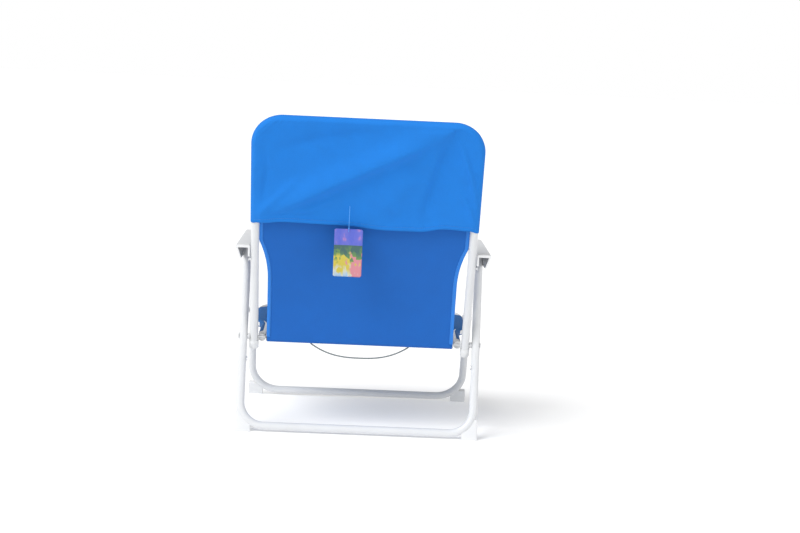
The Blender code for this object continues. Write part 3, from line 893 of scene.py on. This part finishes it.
def make_armrest(word, side):
    """A moulded channel: rolled edges, an inward-sloping outer wall, a round nose and ribs."""
    low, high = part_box(f"armrest_{word}")
    if side < 0:
        box = ((-high[0], low[1], low[2]), (-low[0], high[1], high[2]))
    else:
        box = (tuple(low), tuple(high))
    (in_x, front, _), (out_x, rear, top) = box
    shape = bmesh.new()

    def loft(loops):
        join_rings(shape, [[shape.verts.new(spot) for spot in loop] for loop in loops])

    loops = []
    for i in range(ARM_STEPS + 1):
        y = front + ARM_NOSE + (rear - 0.0002 - front - ARM_NOSE) * i / ARM_STEPS
        outer, inner = arm_section(box, y)
        loops.append([(side * x, y, z) for x, z in outer + inner])
    loft(loops)
    nose = []
    mid_x, mid_z = (in_x + out_x) / 2, top - 0.014
    for i in range(NOSE_STEPS + 1):
        angle = math.pi / 2 * i / NOSE_STEPS
        y = front + ARM_NOSE - ARM_NOSE * math.sin(angle)
        outer, _ = arm_section(box, y)
        keep = max(math.cos(angle), 0.12) ** 0.6
        nose.append([(side * (mid_x + (x - mid_x) * keep), y, mid_z + (z - mid_z) * keep) for x, z in outer])
    loft([[(x, y + 0.0004, z) for x, y, z in nose[0]]] + nose[1:])
    rib_low, rib_high = top - ARM_ROOF - ARM_RIB_DEPTH, top - ARM_ROOF + 0.0010
    across = sorted((side * (in_x + 0.001), side * (out_x - 0.0045)))
    for rib in ARM_RIBS:
        y = front + rib
        add_block(shape, (across[0], y - ARM_RIB_T / 2, rib_low), (across[1], y + ARM_RIB_T / 2, rib_high))
    for part in ARM_LONG_RIBS:
        x = side * (in_x + (out_x - in_x) * part)
        add_block(shape, (x - 0.0006, rear - 0.0450, rib_low), (x + 0.0006, rear - 0.0040, rib_high))
    mesh_piece(shape, f"armrest_shell_{word}", WHITE_PLASTIC, f"arm_{word}",
               [f"armrest_{word}"], ARM_SHARP)


# ---- hood

HOOD_HEM = 0.2860
HOOD_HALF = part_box("hood")[1][0]
HOOD_RT = 0.0106
HOOD_R = 0.0686
HOOD_COLUMNS = 120
HOOD_ROWS = 84
# The hem's height up the back, from right to left.
HEM_LINE = (
    (-0.251, 0.2870), (-0.228, 0.2930), (-0.175, 0.2950), (-0.120, 0.2865), (-0.050, 0.2862),
    (0.046, 0.2940), (0.171, 0.2962), (0.232, 0.2925), (0.251, 0.2900),
)


def fold(points, height, upper, lower, taper=0.25):
    """One fold: (x, s) points along its crest, its height, its width above and below, and how it tapers."""
    return [Vector(p) for p in points], height, upper, lower, taper


REAR_FOLDS = (
    fold(
        [(-0.165, 0.517), (-0.070, 0.466), (0.055, 0.400), (0.144, 0.352), (0.226, 0.308)],
        0.0147, 0.034, 0.015,
    ),
    fold([(-0.175, 0.505), (-0.150, 0.410), (-0.128, 0.318)], -0.0068, 0.010, 0.026),
    fold([(-0.100, 0.440), (-0.060, 0.370), (-0.020, 0.320)], 0.0072, 0.045, 0.030),
    fold([(-0.196, 0.497), (-0.226, 0.420), (-0.249, 0.335)], 0.0053, 0.0050, 0.0075),
    fold([(-0.205, 0.380), (-0.228, 0.345), (-0.245, 0.300)], 0.0043, 0.0050, 0.0070),
    fold([(0.185, 0.470), (0.090, 0.497), (0.000, 0.513)], -0.0030, 0.012, 0.014),
    fold([(0.224, 0.480), (0.216, 0.420), (0.226, 0.340)], -0.0024, 0.006, 0.010),
    fold([(0.234, 0.311), (0.180, 0.316), (0.100, 0.313)], -0.0022, 0.004, 0.005),
    fold([(0.234, 0.314), (0.190, 0.360), (0.150, 0.400)], 0.0028, 0.006, 0.008),
    fold([(0.060, 0.360), (0.120, 0.330), (0.180, 0.309)], 0.0032, 0.006, 0.008),
    fold([(-0.030, 0.350), (-0.070, 0.310), (-0.100, 0.296)], -0.0019, 0.008, 0.008),
)
FRONT_FOLDS = (
    fold([(0.165, 0.510), (0.060, 0.450), (-0.060, 0.385), (-0.210, 0.315)], 0.0080, 0.030, 0.018),
    fold([(0.190, 0.480), (0.175, 0.400), (0.150, 0.310)], -0.0056, 0.014, 0.022),
    fold([(-0.210, 0.470), (-0.225, 0.400), (-0.235, 0.320)], 0.0032, 0.007, 0.009),
    fold([(-0.150, 0.500), (-0.040, 0.485), (0.060, 0.500)], -0.0024, 0.012, 0.014),
)


HOOD_FACES = (("rear", 1, REAR_FOLDS), ("front", -1, FRONT_FOLDS))


def fold_height(folds, x, s):
    """How far all the folds lift the cloth at (x, s)."""
    lift = 0.0
    here = Vector((x, s))
    for points, height, upper, lower, taper in folds:
        total = sum((b - a).length for a, b in zip(points, points[1:]))
        best = None
        run = 0.0
        for a, b in zip(points, points[1:]):
            line = b - a
            part = min(max((here - a).dot(line) / line.length_squared, 0.0), 1.0)
            near = a + line * part
            gap = (here - near).length
            if best is None or gap < best[0]:
                above = line.x * (here.y - a.y) - line.y * (here.x - a.x)
                best = (gap, above * (1.0 if line.x > 0 else -1.0), (run + line.length * part) / total)
            run += line.length
        gap, above, part = best
        width = upper if above > 0 else lower
        fade = smooth_step(0.0, taper, part) * smooth_step(0.0, taper, 1.0 - part)
        lift += height * math.exp(-((gap / width) ** 2)) * (0.35 + 0.65 * fade)
    return lift


def hood_width(s, top):
    """Half the hood's width at s."""
    over = s - (top - HOOD_R)
    if over <= 0:
        return HOOD_HALF
    return HOOD_HALF - HOOD_R + math.sqrt(max(HOOD_R**2 - over**2, 0.0))


def edge_gap(x, s, top):
    """Distance from (x, s) in to the hood's outline."""
    out_x = abs(x) - (HOOD_HALF - HOOD_R)
    out_s = s - (top - HOOD_R)
    if out_x > 0 and out_s > 0:
        return HOOD_R - math.hypot(out_x, out_s)
    return min(HOOD_HALF - abs(x), top - s)


def hood_surface(x, s, nominal, top, folds, way):
    """The hood's height off the middle plane of the back."""
    gap = max(edge_gap(x, nominal, top), 0.0)
    part = min(gap / HOOD_RT, 1.0)
    wrap = HOOD_RT * math.sqrt(max(1.0 - (1.0 - part) ** 2, 0.0))
    inside = smooth_step(0.006, 0.060, gap)
    hem = spline_value(HEM_LINE, x)
    slack = -0.0030 * inside
    flare = 0.0042 * math.exp(-max(s - hem, 0.0) / 0.016) * smooth_step(0.004, 0.035, gap)
    ripple = 0.00045 * noise.noise(Vector((x * 38.0, s * 38.0, 3.1 * way)))
    ripple += 0.0009 * noise.noise(Vector((x * 13.0, s * 13.0, 7.7 * way)))
    pucker = 0.0004 * math.sin(2 * math.pi * (x + s) / 0.013) * math.exp(-((gap - 0.012) / 0.006) ** 2)
    lift = fold_height(folds, x, s) * smooth_step(0.003, 0.026, gap)
    return way * (wrap + slack + flare + lift + (ripple + pucker) * smooth_step(0.0, 0.012, gap))


def make_hood():
    """The hood: rear and front panels with rounded corners, joined in a seam over the back tube."""
    top = BACK_LENGTH + BACK_TUBE_R + 0.0013
    shape = bmesh.new()

    def spot(row, column):
        u = math.sin(math.pi * (column / HOOD_COLUMNS - 0.5))
        v = math.sin(math.pi / 2 * row / HOOD_ROWS)
        nominal = HOOD_HEM + (top - HOOD_HEM) * v
        x = u * hood_width(nominal, top)
        hem = spline_value(HEM_LINE, x)
        return x, hem + (top - hem) * v, nominal

    for _, way, folds in HOOD_FACES:

        def place(row, column):
            x, s, nominal = spot(row, column)
            return back_place(x, s, hood_surface(x, s, nominal, top, folds, way))

        def uv_of(row, column):
            x, s, _ = spot(row, column)
            return (x, way * s)

        lay_grid(shape, HOOD_ROWS, HOOD_COLUMNS, place, uv_of)
    bmesh.ops.remove_doubles(shape, verts=shape.verts, dist=WELD)
    hood = mesh_piece(shape, "hood_cloth", HOOD_CLOTH, "back", ["hood"])
    thicken(hood, CLOTH_T, -1.0)
    for word, way, folds in HOOD_FACES:
        path = []
        for i in range(161):
            x = -0.244 + 0.488 * i / 160
            s = spline_value(HEM_LINE, x) + 0.0085
            height = hood_surface(x, s, s, top, folds, way)
            path.append(back_place(x, s, height + way * 0.0001))
        out = side_view(0.0, BACK_NORMAL) * way
        stitch_row(f"hood_stitching_{word}", path, out, SEWING, "back")


# ---- slings

SLING_SLIM = 0.2112
SLING_WIDE = 0.2312
WAIST_LOW = 0.1480
WAIST_TOP = 0.2440
SLEEVE_R = 0.0103
SLEEVE_JOIN = 0.1200
HEM_JOIN = 0.0300
SLEEVE_START = math.radians(82.4)
SLEEVE_END = math.acos(SLEEVE_R / HEM_JOIN)
HEM_WIDTH = 0.0078
HEM_LOW, HEM_HIGH = 0.0060, 0.4600
SLING_TOP = BACK_LENGTH - BACK_TUBE_R - 0.0006
SLING_PLANE = 0.0004


def sling_half(s):
    """Half the back sling's width at s up the back."""
    corner = BACK_BEND - BACK_TUBE_R
    if s > SLING_TOP - corner:
        over = min(s - (SLING_TOP - corner), corner)
        return SLING_WIDE - corner + math.sqrt(max(corner**2 - over**2, 0.0))
    if s >= WAIST_TOP:
        return SLING_WIDE
    part = max((s - WAIST_LOW) / (WAIST_TOP - WAIST_LOW), 0.0)
    return SLING_SLIM + (SLING_WIDE - SLING_SLIM) * part**2.1


def sling_line():
    """(s, n) points of the back sling from its top edge down, round the crossbar and up to the sewn hem."""
    s_start, n_start = SLEEVE_R * math.cos(SLEEVE_START), SLEEVE_R * math.sin(SLEEVE_START)
    line = []
    steps = 96
    for i in range(steps):
        s = SLING_TOP - (SLING_TOP - s_start) * i / steps
        part = max(SLEEVE_JOIN - s, 0.0) / (SLEEVE_JOIN - s_start)
        line.append((s, SLING_PLANE + (n_start - SLING_PLANE) * part**1.6))
    turns = 26
    for i in range(turns + 1):
        angle = SLEEVE_START + (2 * math.pi - SLEEVE_END - SLEEVE_START) * i / turns
        line.append((SLEEVE_R * math.cos(angle), SLEEVE_R * math.sin(angle)))
    s_end, n_end = line[-1]
    for i in range(1, 5):
        line.append((s_end + (HEM_JOIN - s_end) * i / 4, n_end * (1 - i / 4) - 0.0008 * i / 4))
    line.append((HEM_JOIN + 0.0060, -0.0008))
    line.append((HEM_JOIN + 0.0120, -0.0008))
    return line


def sleeve_rise(s):
    """How far the rear face of the back sling stands off its plane on the way to the crossbar."""
    return SLEEVE_R * (max(SLEEVE_JOIN - s, 0.0) / SLEEVE_JOIN) ** 1.6


def sling_lift(x, s):
    """Slack in the back sling, flat at its edges and at the crossbar."""
    calm = smooth_step(0.020, 0.090, s) * smooth_step(0.0, 0.06, 0.52 - s)
    wide = 1.0 - (x / 0.24) ** 2
    waves = 0.0012 * math.sin(x * 16.0 + 1.2) * math.sin(s * 9.0 + 0.4)
    waves += 0.0007 * noise.noise(Vector((x * 12.0, s * 12.0, 1.7)))
    return calm * (-0.0035 * wide + waves * wide)


def make_back_sling():
    """The back sling: one panel that wraps the crossbar, with a sewn hem along each side."""
    line = sling_line()
    run = [0.0]
    for (s0, n0), (s1, n1) in zip(line, line[1:]):
        run.append(run[-1] + math.hypot(s1 - s0, n1 - n0))
    columns = 72
    shape = bmesh.new()

    def place(row, column):
        s, n = line[row]
        x = (2.0 * column / columns - 1.0) * sling_half(s)
        return back_place(x, s, n + sling_lift(x, s) * (1.0 if n > -0.0005 else 0.0))

    def uv_of(row, column):
        return ((2.0 * column / columns - 1.0) * sling_half(line[row][0]), run[row])

    lay_grid(shape, len(line) - 1, columns, place, uv_of)
    sling = mesh_piece(shape, "back_sling_cloth", BACK_CLOTH, "back", ["back_sling"])
    thicken(sling, CLOTH_T)
    pieces = []
    for word, side in SIDES:
        pieces += sling_hem(word, side)
    out = -side_view(0.0, BACK_NORMAL)
    level = HEM_JOIN + 0.0080
    seam = [back_place(-0.205 + 0.410 * i / 60, level, -0.0008 - CLOTH_T / 2) for i in range(61)]
    pieces.append(stitch_row("sleeve_stitching", seam, out, SEWING, "back"))


def sling_hem(word, side):
    """The folded hem along one side edge of the back sling, on both faces of the cloth, with its stitches."""
    steps = 96
    low, high = HEM_LOW, HEM_HIGH
    shape = bmesh.new()
    across = (
        (-HEM_WIDTH, 0.0008), (-HEM_WIDTH * 0.5, 0.0011), (-0.0006, 0.0010), (0.0004, 0.0005), (0.0006, 0.0),
    )
    section = list(across) + [(x, -n) for x, n in reversed(across[:-1])]

    def place(row, column):
        s = low + (high - low) * row / steps
        inward, n = section[column]
        x = side * (sling_half(s) + inward)
        return back_place(x, s, n + SLING_PLANE + sleeve_rise(s) + sling_lift(x, s))

    def uv_of(row, column):
        return (section[column][0] + 0.001 * column, low + (high - low) * row / steps)

    lay_grid(shape, steps, len(section) - 1, place, uv_of)
    # The hem's cloth is lighter than the sling's, which is a painted highlight.
    hem = mesh_piece(shape, f"back_sling_hem_{word}", HEM_HIGHLIGHT_CLOTH, "back")
    thicken(hem, 0.0004)
    path = []
    for i in range(121):
        s = low + 0.004 + (high - low - 0.008) * i / 120
        x = side * (sling_half(s) - HEM_WIDTH + 0.0016)
        path.append(back_place(x, s, 0.0015 + sleeve_rise(s) + sling_lift(x, s)))
    out = side_view(0.0, BACK_NORMAL)
    row = stitch_row(f"back_hem_stitching_{word}", path, out, SEWING, "back")
    return [hem, row]


SEAT_WRAP_R = 0.0091
SEAT_FRONT_FLAP = 0.0520
SEAT_COLUMNS = 60
SEAT_REAR_GAP = 0.0220
FRONT_FLAP_HALF = 0.1870
SLEEVE_TURNS = 16
# How far in from the rail, and how high, the hem under each rail runs.
SEAT_HEM = ((0.0240, -0.0012), (0.0165, -0.0016), (0.0120, -0.0030))
FLAP_ROWS = 12
UV_SPAN = 0.62


def seat_place(x, p, m):
    """World place in the seat's plane: p back from the front bar, m above the rails' middles."""
    return side_view(x, seat_origin() + SEAT_DIR * p + SEAT_NORMAL * m)


def seat_sag(x, p):
    """How far the seat's top sheet hangs below the rails' tops."""
    depth = seat_depth()
    wide = max(1.0 - (x / 0.2330) ** 2, 0.0)
    long = smooth_step(-0.02, 0.14, p) * (0.55 + 0.45 * smooth_step(0.0, 0.11, depth - p))
    waves = 0.0011 * math.sin(p * 30.0 + x * 9.0) + 0.0010 * noise.noise(Vector((x * 14.0, p * 14.0, 5.3)))
    return wide * long * (0.0150 + waves)


def seat_top(x, p):
    """Height of the seat's top sheet over the rails' middles. Near the rear it drops between the rails."""
    rear = 1.0 - smooth_step(0.080, 0.150, seat_depth() - p)
    inward = min(max(rail_x(p) - abs(x), 0.0), SEAT_WRAP_R)
    around = math.sqrt(max(SEAT_WRAP_R**2 - inward**2, 0.0)) - 0.0030 * inward / SEAT_WRAP_R
    return SEAT_WRAP_R + (around - SEAT_WRAP_R) * rear - seat_sag(x, p)


def seat_section(p):
    """(x, m) points across the seat at p: both sleeves, and between them the top sheet, with no m yet."""
    centre = rail_x(p)
    sleeve = [(centre - inward, m) for inward, m in SEAT_HEM]
    start, end = math.radians(-148), math.radians(90)
    for i in range(SLEEVE_TURNS + 1):
        angle = start + (end - start) * i / SLEEVE_TURNS
        sleeve.append((centre + SEAT_WRAP_R * math.cos(angle), SEAT_WRAP_R * math.sin(angle)))
    flat = [(centre * math.sin(math.pi * (i / SEAT_COLUMNS - 0.5)), None) for i in range(1, SEAT_COLUMNS)]
    return [(-x, m) for x, m in sleeve] + flat + sleeve[::-1]


def flap_line():
    """(p, m) points of the front flap: forward over the bar, round it and back to the hem."""
    line = [(SEAT_FRONT_FLAP - SEAT_FRONT_FLAP * i / FLAP_ROWS, SEAT_WRAP_R) for i in range(FLAP_ROWS + 1)]
    for i in range(1, SLEEVE_TURNS + 1):
        angle = math.pi / 2 + math.radians(240) * i / SLEEVE_TURNS
        line.append((SEAT_WRAP_R * math.cos(angle), SEAT_WRAP_R * math.sin(angle)))
    return line + [(0.0150, -0.0030), (0.0200, -0.0016), (0.0280, -0.0012)]


def make_seat_sling():
    """The seat sling: sleeves on both side rails, a top sheet and a flap round the front bar."""
    rows = 64
    last = seat_depth() - SEAT_REAR_GAP

    def row_p(row):
        return SEAT_FRONT_FLAP + (last - SEAT_FRONT_FLAP) * row / rows

    sections = [seat_section(row_p(row)) for row in range(rows + 1)]
    count = len(sections[0])

    def place(row, column):
        p = row_p(row)
        x, m = sections[row][column]
        return seat_place(x, p, seat_top(x, p) if m is None else m)

    def uv_of(row, column):
        return (column * UV_SPAN / count, row_p(row))

    shape = bmesh.new()
    lay_grid(shape, rows, count - 1, place, uv_of)
    first = len(SEAT_HEM) + SLEEVE_TURNS
    line = flap_line()
    front = sections[0][first:first + SEAT_COLUMNS + 1]
    front_half = rail_x(SEAT_FRONT_FLAP)

    def flap_place(row, column):
        p, m = line[row]
        share = min(max(p, 0.0) / SEAT_FRONT_FLAP, 1.0) if row <= FLAP_ROWS else 0.0
        half = FRONT_FLAP_HALF + (front_half - FRONT_FLAP_HALF) * share**1.6
        x = front[column][0] / front_half * half
        if row <= FLAP_ROWS and column not in (0, SEAT_COLUMNS):
            m = seat_top(x, p)
        return seat_place(x, p, m)

    def flap_uv(row, column):
        return ((first + column) * UV_SPAN / count, SEAT_FRONT_FLAP - 0.0045 * row)

    lay_grid(shape, len(line) - 1, SEAT_COLUMNS, flap_place, flap_uv)
    bmesh.ops.remove_doubles(shape, verts=shape.verts, dist=WELD)
    seat = mesh_piece(shape, "seat_sling_cloth", SEAT_CLOTH, "seat", ["seat_sling"])
    thicken(seat, CLOTH_T)
    lines = {}
    for word, side in SIDES:
        spots = [SEAT_FRONT_FLAP + 0.004 + (last - SEAT_FRONT_FLAP - 0.008) * i / 100 for i in range(101)]
        lines[word] = [(side * (rail_x(p) - SEAT_HEM[1][0]), p) for p in spots]
    for word, p, half in (("front", 0.0170, 0.180), ("rear", last - 0.0060, 0.205)):
        lines[word] = [(-half + 2 * half * i / 100, p) for i in range(101)]
    out = side_view(0.0, SEAT_NORMAL)
    for word, spots in lines.items():
        path = [seat_place(x, p, seat_top(x, p) + CLOTH_T / 2 + 0.0001) for x, p in spots]
        stitch_row(f"seat_stitching_{word}", path, out, SEAT_SEWING, "seat")


# ---- swing tag


TAG_T = 0.0006
TAG_CORNER = 0.0030


def make_tag():
    """A printed card with rounded corners and a slight curl."""
    low, high = corners("swing_tag")
    width, height = high.x - low.x, high.z - low.z
    middle_y = (low.y + high.y) / 2
    columns, rows = 24, 40
    shape = bmesh.new()

    def place(row, column):
        v = row / rows
        z = low.z + height * v
        near = min(v, 1.0 - v) * height
        half = width / 2
        if near < TAG_CORNER:
            half -= TAG_CORNER - math.sqrt(max(TAG_CORNER**2 - (TAG_CORNER - near) ** 2, 0.0))
        u = 2.0 * column / columns - 1.0
        curl = 0.0016 * u * u - 0.0008 * math.sin(math.pi * v)
        return Vector(((low.x + high.x) / 2 + half * u, middle_y + curl, z))

    lay_grid(shape, rows, columns, place, lambda r, c: (1.0 - c / columns, r / rows))
    card = mesh_piece(shape, "tag_card", TAG_LOOK, "tag", ["swing_tag"])
    thicken(card, TAG_T)


# ---- carried-over CAD nodes


def dress_nodes():
    """Materials for the pins, rivets, spacers, washers and plugs that keep their CAD shapes."""
    looks = {"pin": STEEL, "rivet": STEEL, "spacer": GREY_NYLON, "washer": GREY_NYLON, "plug": WHITE_PLASTIC}
    for name, node in frame["nodes"].items():
        for word, look in looks.items():
            if word in name:
                node.data.materials.clear()
                node.data.materials.append(look)


make_camera()
make_cords()
make_tag()
make_studio()
make_tubes()
make_feet()
make_caps()
for arm_word, arm_side in SIDES:
    make_armrest(arm_word, arm_side)
make_hood()
make_back_sling()
make_seat_sling()
dress_nodes()
bpy.context.view_layer.update()
